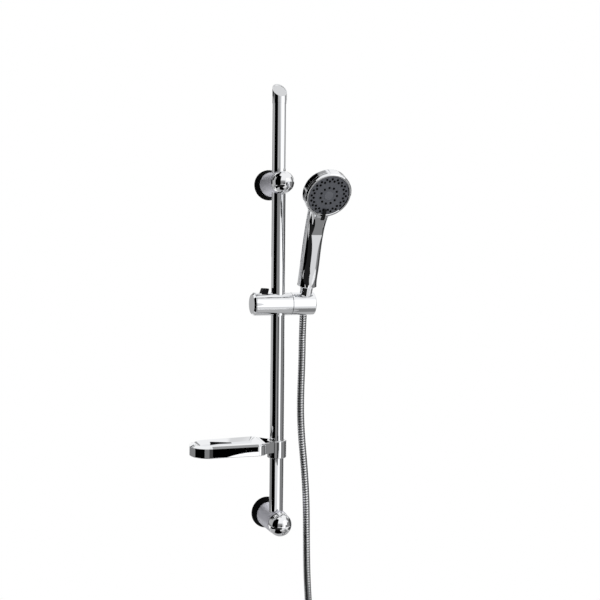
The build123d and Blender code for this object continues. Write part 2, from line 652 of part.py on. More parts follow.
def build_soap_dish():
    """Make the soap dish with its clamp ring, the liner it turns on and the clamp screw."""
    half_h = CLAMP_HEIGHT / 2
    bottom = half_h - DISH_DEPTH
    length = DISH_REACH - DISH_NEAR
    middle = -(DISH_REACH + DISH_NEAR) / 2
    half_l, half_w = length / 2, DISH_WIDTH / 2

    def plan(inset):
        """Make the tray's plan, drawn in from its outer wall by the inset."""
        left = max(half_w - 0.5 - inset, 2.0)
        right = max(half_w - 20.0 - inset, 2.0)
        x, y = half_l - inset, half_w - inset
        corners = [(-x, -y), (x, -y), (x, y + DISH_FLARE), (-x, y)]
        outline = FilletPolyline(*corners, radius=[left, right, right, left], close=True)
        return Pos(middle, 0, 0) * make_face(outline)

    tray = Pos(0, 0, bottom) * extrude(plan(0), DISH_DEPTH - LIP_DROP)
    tray = fillet(tray.edges().group_by(Axis.Z)[0], 1.2)
    tray += loft([Pos(0, 0, half_h - LIP_DROP) * plan(0), Pos(0, 0, half_h) * plan(LIP_WIDTH)])
    rim = LIP_WIDTH + RIM_WIDTH
    slope = BASIN_RUN / BASIN_DEPTH
    basin_floor = half_h - BASIN_DEPTH
    basin = loft([Pos(0, 0, basin_floor) * plan(rim + BASIN_RUN), Pos(0, 0, half_h + 1) * plan(rim - slope)])
    hollow = Pos(0, 0, bottom - 1) * extrude(plan(DISH_WALL), DISH_DEPTH - BASIN_DEPTH - DISH_FLOOR + 1)
    drain = extrude(SlotOverall(DRAIN_LENGTH, DRAIN_WIDTH), 2 * DISH_FLOOR + BASIN_DEPTH)
    drain = Pos(middle - 6, DRAIN_BACK, basin_floor - 2 * DISH_FLOOR) * drain

    ring = rod(CLAMP_OD / 2, -half_h, half_h)
    ring = fillet(ring.edges().filter_by(GeomType.CIRCLE), 0.8)
    near = -DISH_NEAR - 3
    back = 24 + DISH_FLARE
    neck_plan = make_face(Polyline((near, -24), (-6, -13.5), (-6, 13.5), (near, back), close=True))
    neck = Pos(0, 0, bottom) * extrude(neck_plan, DISH_DEPTH - 0.6)
    pocket = Pos(0, 0, half_h - POCKET_DEPTH) * extrude(offset(neck_plan, -DISH_WALL), 2 * POCKET_DEPTH)
    pocket -= rod(CLAMP_OD / 2, -CLAMP_HEIGHT, CLAMP_HEIGHT)
    pocket -= Pos(0, 0, bottom) * extrude(plan(0), 3 * DISH_DEPTH)
    dish = tray + neck + ring - basin - hollow - drain - pocket
    dish -= rod(clamp_bore, -CLAMP_HEIGHT, CLAMP_HEIGHT)
    radial = Pos(0, 0, -half_h + DISH_DROP) * Rot(0, 0, 213)
    dish -= radial * along_x(2.52, 5, CLAMP_OD)

    liner = rod(liner_r, -half_h + 0.6, half_h - 0.6) - rod(rail_r + RUNNING_FIT, -CLAMP_HEIGHT, CLAMP_HEIGHT)
    screw = along_x(2.5, clamp_bore + 0.3, CLAMP_OD / 2 + 0.6)
    screw -= Rot(0, 90, 0) * hex_prism(2.5, CLAMP_OD / 2 - 1.2, CLAMP_OD)
    return {
        "soap_dish": on_dish * dish,
        "dish_clamp_liner": on_dish * liner,
        "dish_clamp_screw": on_dish * radial * screw,
    }


def main():
    """Build every piece and write each one to its own STEP file."""
    parts = {}
    for builder in (build_rail, build_brackets, build_slider, build_brake, build_holder):
        parts.update(builder())
    for builder in (build_hose_top, build_head_parts, build_hose, build_soap_dish):
        parts.update(builder())
    parts["handset_body"] = on_handset * build_handset_body()
    os.makedirs("parts", exist_ok=True)
    for name, shape in sorted(parts.items()):
        export_step(shape, f"parts/{name}.step")
        print(name, "solids", len(shape.solids()), "volume", round(shape.volume))


if __name__ == "__main__":
    main()
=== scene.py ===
"""Looks of the shower rail: chrome, satin metal, black plastic, ribbed hose, studio and camera."""

import json
import logging
import math
from dataclasses import dataclass, field
from enum import Enum

import bpy
from mathutils import Matrix, Vector

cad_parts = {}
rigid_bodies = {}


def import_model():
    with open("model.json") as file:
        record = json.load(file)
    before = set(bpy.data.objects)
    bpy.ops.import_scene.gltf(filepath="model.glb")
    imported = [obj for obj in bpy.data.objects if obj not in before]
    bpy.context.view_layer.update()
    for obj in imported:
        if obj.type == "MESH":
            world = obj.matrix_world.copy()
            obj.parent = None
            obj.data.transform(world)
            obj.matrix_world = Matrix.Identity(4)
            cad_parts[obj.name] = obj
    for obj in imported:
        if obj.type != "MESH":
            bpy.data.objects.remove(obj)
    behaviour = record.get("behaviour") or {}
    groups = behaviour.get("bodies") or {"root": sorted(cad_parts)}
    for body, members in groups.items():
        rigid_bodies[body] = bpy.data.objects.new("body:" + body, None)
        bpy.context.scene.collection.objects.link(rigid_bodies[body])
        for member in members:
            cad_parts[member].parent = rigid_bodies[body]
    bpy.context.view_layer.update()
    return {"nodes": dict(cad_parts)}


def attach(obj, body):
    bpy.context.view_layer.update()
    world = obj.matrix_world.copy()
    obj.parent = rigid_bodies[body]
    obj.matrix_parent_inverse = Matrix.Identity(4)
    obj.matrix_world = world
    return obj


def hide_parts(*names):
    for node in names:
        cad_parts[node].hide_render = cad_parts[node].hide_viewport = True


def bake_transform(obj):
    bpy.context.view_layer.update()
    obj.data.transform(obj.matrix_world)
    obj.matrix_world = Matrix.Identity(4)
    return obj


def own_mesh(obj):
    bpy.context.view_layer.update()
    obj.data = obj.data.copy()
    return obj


for leftover in list(bpy.data.objects):
    bpy.data.objects.remove(leftover)

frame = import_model()
NODES = frame["nodes"]
MM = 0.001
IMAGE_SIDE = 600.0
LOG = logging.getLogger("shower_rail")


class Grade(Enum):
    """Share of a white wall that a studio card shows in polished metal."""

    WHITE = 1.25
    BRIGHT = 0.76
    LIGHT = 0.46
    PALE = 0.36
    MID = 0.24
    DIM = 0.06
    SHADE = 0.015
    BLACK = 0.0


class Edge(Enum):
    """How a studio card ends in a reflection."""

    HARD = "hard"
    SOFT = "soft"
    SOFT_TOP = "soft_top"


def linear(code: str) -> tuple[float, float, float, float]:
    """Turn a hex sRGB colour into linear RGBA.

    Args:
        code: colour such as "#808080".

    Returns:
        Linear red, green and blue, and an alpha of one.
    """
    shares = [int(code[i : i + 2], 16) / 255 for i in (1, 3, 5)]
    red, green, blue = (c / 12.92 if c <= 0.04045 else ((c + 0.055) / 1.055) ** 2.4 for c in shares)
    return (red, green, blue, 1.0)


def per_metre(size_mm: float) -> float:
    """Find the texture scale for a feature.

    Args:
        size_mm: width of one feature.

    Returns:
        How many features fit in a metre.
    """
    return 1.0 / (size_mm * MM)


def add_node(
    tree: bpy.types.NodeTree,
    kind: str,
    values: dict[str, object] | None = None,
    links: dict[str, bpy.types.NodeSocket] | None = None,
    **settings: object,
) -> bpy.types.Node:
    """Add one shader node.

    Args:
        tree: node tree that gets the node.
        kind: Blender's name of the node type.
        values: input socket values by socket name.
        links: output sockets to link, by the input socket's name.
        settings: the node's own properties.

    Returns:
        The new node.
    """
    node = tree.nodes.new(kind)
    for name, value in settings.items():
        setattr(node, name, value)
    for name, value in (values or {}).items():
        node.inputs[name].default_value = value
    for name, socket in (links or {}).items():
        tree.links.new(socket, node.inputs[name])
    return node


def new_material(name: str) -> tuple[bpy.types.Material, bpy.types.NodeTree, bpy.types.Node]:
    """Start a node material.

    Args:
        name: name of the finish.

    Returns:
        The material, its node tree and its shader.
    """
    material = bpy.data.materials.new(name)
    material.use_nodes = True
    tree = material.node_tree
    return material, tree, tree.nodes["Principled BSDF"]


def calculate(
    tree: bpy.types.NodeTree, operation: str, *terms: bpy.types.NodeSocket | float
) -> bpy.types.NodeSocket:
    """Add one Math node.

    Args:
        tree: node tree that gets the node.
        operation: Blender's name of the operation.
        terms: sockets to link or numbers to set, in the order of the node's inputs.

    Returns:
        The socket with the node's result.
    """
    node = add_node(tree, "ShaderNodeMath", operation=operation)
    for entry, term in zip(node.inputs, terms):
        if isinstance(term, bpy.types.NodeSocket):
            tree.links.new(term, entry)
        else:
            entry.default_value = term
    return node.outputs["Value"]


def add_noise(
    tree: bpy.types.NodeTree, size_mm: float, detail: float, roughness: float = 0.5
) -> bpy.types.NodeSocket:
    """Add a noise that keeps its place on the piece.

    Args:
        tree: node tree that gets the noise.
        size_mm: width of its largest feature.
        detail: number of finer layers.
        roughness: share of each layer that the next one has.

    Returns:
        The socket with the noise's strength.
    """
    place = add_node(tree, "ShaderNodeTexCoord")
    noise = add_node(
        tree,
        "ShaderNodeTexNoise",
        {"Scale": per_metre(size_mm), "Detail": detail, "Roughness": roughness},
        {"Vector": place.outputs["Object"]},
    )
    return noise.outputs["Fac"]


def mix_colours(
    tree: bpy.types.NodeTree, share: bpy.types.NodeSocket, first: str, second: str
) -> bpy.types.NodeSocket:
    """Mix two colours.

    Args:
        tree: node tree that gets the mix.
        share: socket with the second colour's share.
        first: hex colour at a share of nought.
        second: hex colour at a share of one.

    Returns:
        The socket with the mixed colour.
    """
    tone = add_node(
        tree, "ShaderNodeMix", {"A": linear(first), "B": linear(second)}, data_type="RGBA"
    )
    tree.links.new(share, tone.inputs["Factor"])
    return tone.outputs[2]


def spread(
    tree: bpy.types.NodeTree,
    source: bpy.types.NodeSocket,
    result: tuple[float, float],
    taken: tuple[float, float] = (0.0, 1.0),
) -> bpy.types.NodeSocket:
    """Map a range of a socket's values to another range.

    Args:
        tree: node tree that gets the map.
        source: socket to read.
        result: least and greatest value given.
        taken: values of the source that give them.

    Returns:
        The socket with the mapped value.
    """
    names = ("To Min", "To Max", "From Min", "From Max")
    values = dict(zip(names, (*result, *taken)))
    return add_node(tree, "ShaderNodeMapRange", values, {"Value": source}).outputs["Result"]


def add_relief(
    tree: bpy.types.NodeTree,
    shader: bpy.types.Node,
    height: bpy.types.NodeSocket,
    strength: float,
    depth_mm: float,
) -> None:
    """Give a shader a fine relief.

    Args:
        tree: node tree of the material.
        shader: its shader.
        height: socket with the relief's height.
        strength: how much of the relief shows.
        depth_mm: depth of the relief.
    """
    values = {"Strength": strength, "Distance": depth_mm * MM}
    bump = add_node(tree, "ShaderNodeBump", values, {"Height": height})
    tree.links.new(bump.outputs["Normal"], shader.inputs["Normal"])


@dataclass(frozen=True)
class Zone:
    """A box, turned with the piece it lies in, that the material shows as black plastic: bare plastic on
    the ring's tab, and painted shade in the dish's drain slot.

    The centre and the half sides are in millimetres, and the turn is in degrees about X, Y and Z.
    """

    centre: tuple[float, float, float]
    turn: tuple[float, float, float]
    half: tuple[float, float, float]

    def mask(self, tree: bpy.types.NodeTree) -> bpy.types.NodeSocket:
        """Work out which places of the piece lie in the box.

        Args:
            tree: node tree of the piece's material.

        Returns:
            A socket with one inside the box and nought outside it.
        """
        place = add_node(tree, "ShaderNodeTexCoord")
        inside = add_node(
            tree,
            "ShaderNodeMapping",
            {
                "Location": Vector(self.centre) * MM,
                "Rotation": [math.radians(angle) for angle in self.turn],
                "Scale": Vector(self.half) * MM,
            },
            {"Vector": place.outputs["Object"]},
            vector_type="TEXTURE",
        )
        reach = add_node(tree, "ShaderNodeVectorMath", operation="ABSOLUTE")
        tree.links.new(inside.outputs["Vector"], reach.inputs[0])
        parts = add_node(tree, "ShaderNodeSeparateXYZ", links={"Vector": reach.outputs["Vector"]})
        wider = calculate(tree, "MAXIMUM", parts.outputs["X"], parts.outputs["Y"])
        widest = calculate(tree, "MAXIMUM", wider, parts.outputs["Z"])
        return calculate(tree, "LESS_THAN", widest, 1.0)


@dataclass(frozen=True)
class ChromePlating:
    """Decorative chrome over polished plastic, brass or steel, a clear mirror with faint wipe marks."""

    name: str = "decorative_chrome"
    colour: str = "#eff0f2"
    smoothest: float = 0.01
    dullest: float = 0.022
    wipe_mm: float = 45.0
    wipe_detail: float = 3.0
    wipe_roughness: float = 0.6
    wipe_range: tuple[float, float] = (0.35, 0.7)
    ripple_mm: float = 30.0
    ripple_detail: float = 1.0
    ripple_strength: float = 0.03
    ripple_depth_mm: float = 0.01
    # Black zone: bare plastic on the ring's tab; on the dish, painted shade in the drain slot
    bare_or_shade: Zone | None = None
    bare_or_shade_colour: str = "#050506"
    bare_or_shade_roughness: float = 0.35
    bare_or_shade_specular: float = 0.15

    def leave_bare_or_shade(
        self, tree: bpy.types.NodeTree, shader: bpy.types.Node, gloss: bpy.types.NodeSocket
    ) -> None:
        """Turn the zone of the piece black: bare plastic on the ring's tab, painted shade in the dish's
        drain slot.

        Args:
            tree: node tree of the material.
            shader: its shader.
            gloss: roughness of the plated part.
        """
        mask = self.bare_or_shade.mask(tree)
        tone = mix_colours(tree, mask, self.colour, self.bare_or_shade_colour)
        tree.links.new(tone, shader.inputs["Base Color"])
        tree.links.new(calculate(tree, "SUBTRACT", 1.0, mask), shader.inputs["Metallic"])
        dull = calculate(tree, "MULTIPLY", mask, self.bare_or_shade_roughness)
        tree.links.new(calculate(tree, "MAXIMUM", gloss, dull), shader.inputs["Roughness"])
        shader.inputs["Specular IOR Level"].default_value = self.bare_or_shade_specular

    def make(self) -> bpy.types.Material:
        """Build the chrome material.

        Returns:
            A mirror metal whose gloss varies in faint wiped patches.
        """
        material, tree, shader = new_material(self.name)
        shader.inputs["Base Color"].default_value = linear(self.colour)
        shader.inputs["Metallic"].default_value = 1.0
        wipes = add_noise(tree, self.wipe_mm, self.wipe_detail, self.wipe_roughness)
        gloss = spread(tree, wipes, (self.smoothest, self.dullest), self.wipe_range)
        tree.links.new(gloss, shader.inputs["Roughness"])
        ripple = add_noise(tree, self.ripple_mm, self.ripple_detail)
        add_relief(tree, shader, ripple, self.ripple_strength, self.ripple_depth_mm)
        if self.bare_or_shade is not None:
            self.leave_bare_or_shade(tree, shader, gloss)
        return material


@dataclass(frozen=True)
class GrainedFinish:
    """A surface with a fine even grain: blasted metal, spark-eroded plastic or moulded rubber."""

    name: str
    colour: str
    shade: str
    roughness: float
    metallic: float = 0.0
    grain_mm: float = 0.7
    grain_detail: float = 4.0
    grain_roughness: float = 0.65
    grain_depth_mm: float = 0.02
    grain_strength: float = 0.3
    gloss_spread: float = 0.06
    specular: float = 0.5

    def make(self) -> bpy.types.Material:
        """Build the grained material.

        Returns:
            A material whose colour, gloss and relief follow one fine grain.
        """
        material, tree, shader = new_material(self.name)
        shader.inputs["Metallic"].default_value = self.metallic
        shader.inputs["Specular IOR Level"].default_value = self.specular
        grain = add_noise(tree, self.grain_mm, self.grain_detail, self.grain_roughness)
        tree.links.new(mix_colours(tree, grain, self.colour, self.shade), shader.inputs["Base Color"])
        gloss = (self.roughness - self.gloss_spread, self.roughness + self.gloss_spread)
        tree.links.new(spread(tree, grain, gloss), shader.inputs["Roughness"])
        add_relief(tree, shader, grain, self.grain_strength, self.grain_depth_mm)
        return material


@dataclass(frozen=True)
class HoseSteel:
    """Double-locked stainless strip, bright on the crest of each turn, with painted shade in the groove.
    """

    name: str = "hose_stainless_strip"
    crest: str = "#eeeff1"
    # Painted shade in the groove of each turn
    groove_shade: str = "#060607"
    smoothest: float = 0.03
    dullest: float = 0.1
    streak_mm: float = 1.6
    streak_detail: float = 2.0

    def make(self) -> bpy.types.Material:
        """Build the hose material.

        Returns:
            A metal with painted shade in the grooves, taken from an attribute of the mesh.
        """
        material, tree, shader = new_material(self.name)
        shader.inputs["Metallic"].default_value = 1.0
        depth = add_node(tree, "ShaderNodeAttribute", attribute_name="groove_shade")
        tone = mix_colours(tree, depth.outputs["Fac"], self.crest, self.groove_shade)
        tree.links.new(tone, shader.inputs["Base Color"])
        streaks = add_noise(tree, self.streak_mm, self.streak_detail)
        gloss = spread(tree, streaks, (self.smoothest, self.dullest))
        tree.links.new(gloss, shader.inputs["Roughness"])
        return material


# The mirror that shows the studio as stripes along the rail
CHROME = ChromePlating()
# The same mirror with painted shade: the drain slot is painted as black plastic, where its recess lies in
# shade
DISH_CHROME = ChromePlating(
    name="dish_chrome",
    smoothest=0.004,
    dullest=0.012,
    # Painted shade: the recess of the drain slot is painted black
    bare_or_shade=Zone(centre=(-94.58, -30.33, 134.7), turn=(0.0, 0.0, -4.0), half=(19.1, 4.1, 9.6)),
)
# The same mirror with a black grip on the tab
RING_CHROME = ChromePlating(
    name="ring_chrome",
    bare_or_shade=Zone(centre=(49.51, -153.01, 540.94), turn=(121.63, 2.77, 3.99), half=(2.95, 10.7, 2.4)),
)
# A pale, even grey that blurs every reflection, so the posts stand back behind the chrome
SATIN_METAL = GrainedFinish(
    name="blasted_aluminium",
    colour="#e9e9f1",
    shade="#dadae2",
    roughness=0.5,
    metallic=1.0,
    grain_mm=0.6,
    grain_depth_mm=0.01,
    grain_strength=0.25,
)
# A deep black without a highlight, which sets the plates off from the white
PLATE_BLACK = GrainedFinish(
    name="black_abs_plate",
    colour="#030304",
    shade="#060607",
    roughness=0.6,
    grain_mm=0.8,
    grain_depth_mm=0.03,
    grain_strength=0.25,
    specular=0.02,
)
# A black with a faint cool sheen along the lever's edges
LEVER_BLACK = GrainedFinish(
    name="black_acetal_lever",
    colour="#040407",
    shade="#08080c",
    roughness=0.35,
    grain_mm=0.8,
    grain_strength=0.2,
    specular=0.1,
)
# A cool mid grey with a fine moulded grain, against which the nozzles show
FACE_GREY = GrainedFinish(
    name="grey_abs_spray_face",
    colour="#46484f",
    shade="#515359",
    roughness=0.42,
    grain_strength=0.2,
)
# The same grey, smoother and a little lighter, so the disc is told from the face
DISC_GREY = GrainedFinish(
    name="grey_abs_disc",
    colour="#55575d",
    shade="#606268",
    roughness=0.3,
    grain_depth_mm=0.01,
    grain_strength=0.1,
)
# Matt black dots that stay dark under every light
NOZZLE_BLACK = GrainedFinish(
    name="silicone_nozzle_rubber",
    colour="#010101",
    shade="#040404",
    roughness=0.6,
    grain_mm=0.6,
    grain_strength=0.2,
    specular=0.05,
)
# A soft off-white that marks the sliding plastic inside
GUIDE_WHITE = GrainedFinish(
    name="white_acetal",
    colour="#dddcd8",
    shade="#cfcec9",
    roughness=0.45,
    grain_mm=0.8,
    grain_strength=0.15,
)
# A duller metal than the chrome, as screws and springs have
SCREW_STEEL = GrainedFinish(
    name="plain_steel",
    colour="#a9a9ad",
    shade="#8d8d92",
    roughness=0.28,
    metallic=1.0,
    grain_mm=0.5,
    grain_depth_mm=0.01,
    grain_strength=0.2,
)
# A warm yellow metal at the threads
TURNED_BRASS = GrainedFinish(
    name="turned_brass",
    colour="#c7a558",
    shade="#b08f45",
    roughness=0.3,
    metallic=1.0,
    grain_mm=0.5,
    grain_depth_mm=0.01,
    grain_strength=0.2,
)
# Bright bands with painted shade in the grooves between them, which read as ribs
HOSE_STEEL = HoseSteel()
# A white with hardly any grain, which stays quiet under the part
FLOOR_PAPER = GrainedFinish(
    name="pale_floor_paper",
    colour="#f4f4f4",
    shade="#efefef",
    roughness=0.8,
    grain_mm=3.0,
    grain_depth_mm=0.05,
    grain_strength=0.1,
    specular=0.2,
)


def deselect_all() -> None:
    """Leave edit mode and clear the selection."""
    if bpy.context.mode != "OBJECT":
        bpy.ops.object.mode_set(mode="OBJECT")
    bpy.ops.object.select_all(action="DESELECT")


def dress(material: bpy.types.Material, *names: str) -> None:
    """Give CAD nodes a finish.

    Args:
        material: finish to show.
        names: CAD nodes that get it.
    """
    for name in names:
        slots = NODES[name].data.materials
        slots.clear()
        slots.append(material)
        LOG.info("dressed %s in %s", name, material.name)


@dataclass
class Hose:
    """Ribbed hose that hangs from the conical nut, with its spare length coiled and tied.

    The route is in millimetres. The groove's width is a share of half a pitch, and its tone is the power
    that turns its depth into painted shade.
    """

    radius: float = 6.6 * MM
    groove_depth: float = 0.3 * MM
    groove_width: float = 0.55
    groove_shade_power: float = 0.7
    pitch: float = 4.6 * MM
    stations_per_pitch: int = 12
    sides: int = 22
    length: float = 1.5
    coil_radius: float = 67.98 * MM
    coil_turns: int = 2
    coil_climb: float = 14.0 * MM
    coil_points: int = 16
    coil_height: float = -230.0 * MM
    hang_y: float = -41.07 * MM
    route: list[tuple[float, float, float]] = field(
        default_factory=lambda: [
            (50.6, -52.69, 366.63),
            (53.4, -41.07, 331.92),
            (53.4, -40.57, 284.0),
            (50.6, -41.07, 203.0),
            (52.8, -41.07, 149.0),
            (59.6, -41.07, 84.0),
            (63.8, -41.07, 24.0),
            (64.7, -41.07, -46.0),
            (66.2, -41.07, -112.0),
            (70.3, -41.07, -170.0),
        ]
    )
    coil_x: float = 72.0 * MM
    end_z: float = -286.0 * MM
    spline_order: int = 3
    spline_steps: int = 16

    def control_points(self) -> list[Vector]:
        """List the control points of the hose's line.

        Returns:
            The hanging route, the turns of the coil and the straight end, in metres.
        """
        points = [Vector(p) * MM for p in self.route]
        centre_y = self.hang_y - self.coil_radius
        control_radius = self.coil_radius / math.cos(math.pi / self.coil_points)
        count = self.coil_points * self.coil_turns
        spread = self.coil_climb * self.coil_turns
        for i in range(count + 1):
            angle = 2 * math.pi * i / self.coil_points
            y = centre_y + control_radius * math.cos(angle)
            z = self.coil_height - control_radius * math.sin(angle)
            points.append(Vector((self.coil_x + spread * i / count, y, z)))
        end_x = self.coil_x + spread
        points.append(Vector((end_x, self.hang_y, (self.coil_height + self.end_z) / 2)))
        points.append(Vector((end_x, self.hang_y, self.end_z)))
        return points

    def centre_line(self) -> list[Vector]:
        """Read the smooth line of the hose from a NURBS spline.

        Returns:
            Points along the spline, from the nut to the end sleeve.
        """
        controls = self.control_points()
        data = bpy.data.curves.new("hose_line", "CURVE")
        data.dimensions = "3D"
        spline = data.splines.new("NURBS")
        spline.points.add(len(controls) - 1)
        for point, place in zip(spline.points, controls):
            point.co = (*place, 1.0)
        spline.order_u = self.spline_order
        spline.use_endpoint_u = True
        spline.resolution_u = self.spline_steps
        line = bpy.data.objects.new("hose_line", data)
        bpy.context.scene.collection.objects.link(line)
        depsgraph = bpy.context.evaluated_depsgraph_get()
        mesh = bpy.data.meshes.new_from_object(line.evaluated_get(depsgraph))
        points = [v.co.copy() for v in mesh.vertices]
        bpy.data.objects.remove(line)
        bpy.data.meshes.remove(mesh)
        return points

    def stations(self, line: list[Vector]) -> list[tuple[float, Vector]]:
        """Space ring centres evenly along the line.

        Args:
            line: points of the hose's smooth line.

        Returns:
            Distance from the nut and place of each ring.
        """
        lengths = [0.0]
        for before, after in zip(line, line[1:]):
            lengths.append(lengths[-1] + (after - before).length)
        count = round(lengths[-1] / self.pitch * self.stations_per_pitch)
        rings = []
        segment = 0
        for i in range(count + 1):
            along = lengths[-1] * i / count
            while segment < len(line) - 2 and lengths[segment + 1] < along:
                segment += 1
            share = (along - lengths[segment]) / (lengths[segment + 1] - lengths[segment])
            rings.append((along, line[segment].lerp(line[segment + 1], share)))
        return rings

    def groove_share(self, turn: float) -> float:
        """Work out how deep the groove is at a place in the strip's turn.

        Args:
            turn: turns of the strip since the nut.

        Returns:
            Nought on the crest and one at the bottom of the groove.
        """
        offset = abs(turn - math.floor(turn) - 0.5) * 2
        return max(0.0, 1.0 - offset / self.groove_width)

    def skin(self, rings: list[tuple[float, Vector]]) -> tuple[list[Vector], list[float]]:
        """Set out the points of the ribbed surface.

        Args:
            rings: distance from the nut and place of each ring.

        Returns:
            The points, ring after ring, and the painted shade of the groove at each.
        """
        places: list[Vector] = []
        groove_shades: list[float] = []
        side = Vector((1.0, 0.0, 0.0))
        for i, (along, centre) in enumerate(rings):
            ahead = rings[min(i + 1, len(rings) - 1)][1]
            behind = rings[max(i - 1, 0)][1]
            tangent = (ahead - behind).normalized()
            side = (side - tangent * side.dot(tangent)).normalized()
            up = tangent.cross(side)
            for k in range(self.sides):
                turn = k / self.sides
                depth = self.groove_share(along / self.pitch - turn)
                reach = self.radius - self.groove_depth * depth
                angle = 2 * math.pi * turn
                places.append(centre + (side * math.cos(angle) + up * math.sin(angle)) * reach)
                groove_shades.append(depth**self.groove_shade_power)
        return places, groove_shades

    def faces(self, count: int) -> list[tuple[int, ...]]:
        """List the faces between the rings and over both ends.

        Args:
            count: number of rings.

        Returns:
            Point numbers of each face.
        """
        faces: list[tuple[int, ...]] = []
        for i in range(count - 1):
            low = i * self.sides
            high = low + self.sides
            for k in range(self.sides):
                n = (k + 1) % self.sides
                faces.append((low + k, low + n, high + n, high + k))
        faces.append(tuple(reversed(range(self.sides))))
        faces.append(tuple(range((count - 1) * self.sides, count * self.sides)))
        return faces

    def build(self) -> bpy.types.Object:
        """Model the ribbed tube.

        Returns:
            The hose, laid from the nut along its route and coil to the end sleeve.
        """
        rings = self.stations(self.centre_line())
        places, groove_shades = self.skin(rings)
        mesh = bpy.data.meshes.new("ribbed_hose")
        mesh.from_pydata(places, [], self.faces(len(rings)))
        # Share of painted shade at each point, deepest at the bottom of the groove
        groove_shade = mesh.attributes.new("groove_shade", "FLOAT", "POINT")
        groove_shade.data.foreach_set("value", groove_shades)
        mesh.polygons.foreach_set("use_smooth", [True] * len(mesh.polygons))
        mesh.materials.append(HOSE_STEEL.make())
        hose = bpy.data.objects.new("ribbed_hose", mesh)
        bpy.context.scene.collection.objects.link(hose)
        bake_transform(hose)
        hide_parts("hose_tube", "hose_coil")
        LOG.info("made ribbed_hose, %d rings, %.3f m", len(rings), rings[-1][0])
        return hose


@dataclass
class LeafSpring:
    """Bowed steel strip behind the brake shoe. On the slider it flattens as the lever draws the shoe back;
    this model keeps its bow.

    The slack keeps the points at the feet when the rest of the circle is deleted.
    """

    apex: Vector = field(default_factory=lambda: Vector((-36.45, -59.0, 385.5)) * MM)
    foot_x: float = -43.3 * MM
    bend: float = 12.257 * MM
    height: float = 5.0 * MM
    thickness: float = 0.5 * MM
    facets: int = 90
    slack: float = 0.1 * MM
    pressed_share: float = 0.76

    def build(self, steel: bpy.types.Material) -> bpy.types.Object:
        """Model the strip from an arc that is extruded and thickened.

        Args:
            steel: finish of the strip.

        Returns:
            The spring, a bowed arc cut off at its feet.
        """
        deselect_all()
        bpy.ops.mesh.primitive_circle_add(
            vertices=self.facets,
            radius=self.bend,
            location=self.apex - Vector((self.bend, 0.0, self.height / 2)),
        )
        strip = bpy.context.object
        strip.name = "leaf_spring"
        bpy.ops.object.transform_apply(location=True, rotation=False, scale=False)
        bpy.ops.object.mode_set(mode="EDIT")
        bpy.ops.mesh.select_mode(type="VERT")
        bpy.ops.mesh.select_all(action="DESELECT")
        bpy.ops.object.mode_set(mode="OBJECT")
        for vertex in strip.data.vertices:
            vertex.select = vertex.co.x < self.foot_x - self.slack
        bpy.ops.object.mode_set(mode="EDIT")
        bpy.ops.mesh.delete(type="VERT")
        bpy.ops.mesh.select_all(action="SELECT")
        bpy.ops.mesh.extrude_region_move(TRANSFORM_OT_translate={"value": (0.0, 0.0, self.height)})
        bpy.ops.object.mode_set(mode="OBJECT")
        wall = strip.modifiers.new("wall", "SOLIDIFY")
        wall.thickness = self.thickness
        wall.offset = 0.0
        bpy.ops.object.modifier_apply(modifier=wall.name)
        strip.data.materials.append(steel)
        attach(strip, "slider")
        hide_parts("brake_spring")
        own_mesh(strip)
        LOG.info("made leaf_spring")
        return strip


@dataclass
class RailSet:
    """The rail tube with its cap and wall brackets."""

    def build(self, chrome: bpy.types.Material, plate: bpy.types.Material) -> None:
        """Dress the fixed pieces.

        Args:
            chrome: finish of the polished pieces.
            plate: finish of the wall plates.
        """
        dress(chrome, "rail_tube", "top_end_cap", "lower_dome_cap", "upper_dome_cap")
        dress(SATIN_METAL.make(), "lower_bracket_post", "upper_bracket_post")
        dress(plate, "lower_wall_plate", "upper_wall_plate")


@dataclass
class SliderSet:
    """The slider, its lever and brake, and the tilting holder."""

    def build(self, chrome: bpy.types.Material, guide: bpy.types.Material) -> None:
        """Dress the slider's pieces.

        Args:
            chrome: finish of the plated pieces.
            guide: finish of the plastic pieces inside.
        """
        dress(chrome, "slider_body", "slider_end_cap", "handset_holder")
        dress(LEVER_BLACK.make(), "release_lever")
        dress(guide, "slider_glide_rings", "holder_friction_ring", "brake_shoe")


@dataclass
class Handset:
    """The hand shower with its spray head."""

    def build(self, chrome: bpy.types.Material, guide: bpy.types.Material) -> None:
        """Dress the hand shower's pieces.

        Args:
            chrome: finish of the plated pieces.
            guide: finish of the plastic pieces inside.
        """
        rubber = NOZZLE_BLACK.make()
        brass = TURNED_BRASS.make()
        dress(chrome, "handset_body", "hose_cone_nut")
        dress(RING_CHROME.make(), "mode_ring")
        dress(FACE_GREY.make(), "spray_plate")
        dress(DISC_GREY.make(), "centre_disc")
        dress(rubber, "nozzle_mat", "head_seal", "flow_washer", "hose_washer", "hose_end_washer")
        dress(guide, "diverter_plate")
        dress(brass, "handset_inlet", "hose_tail")


@dataclass
class DishSet:
    """The soap dish with its clamp."""

    def build(self, guide: bpy.types.Material) -> None:
        """Dress the dish's pieces.

        Args:
            guide: finish of the clamp's liner.
        """
        dress(DISH_CHROME.make(), "soap_dish")
        dress(guide, "dish_clamp_liner")


@dataclass(frozen=True)
class StudioCard:
    """A flat studio card that polished metal reflects, turned to the rail.

    It stands between two angles right of the camera and between two heights.
    """

    name: str
    start: float
    end: float
    grade: Grade
    low: float = -0.95
    high: float = 2.6
    distance: float = 3.0
    edge: Edge = Edge.HARD


@dataclass(frozen=True)
class LevelCard:
    """A level studio card above or below the object, turned about the vertical."""

    name: str
    centre: Vector
    size: tuple[float, float]
    grade: Grade
    turn: float = 0.0
    edge: Edge = Edge.HARD


@dataclass(frozen=True)
class LocalFlag:
    """A small black card on a stand near the object, turned to the piece that it darkens."""

    name: str
    centre: Vector
    target: Vector
    size: tuple[float, float]


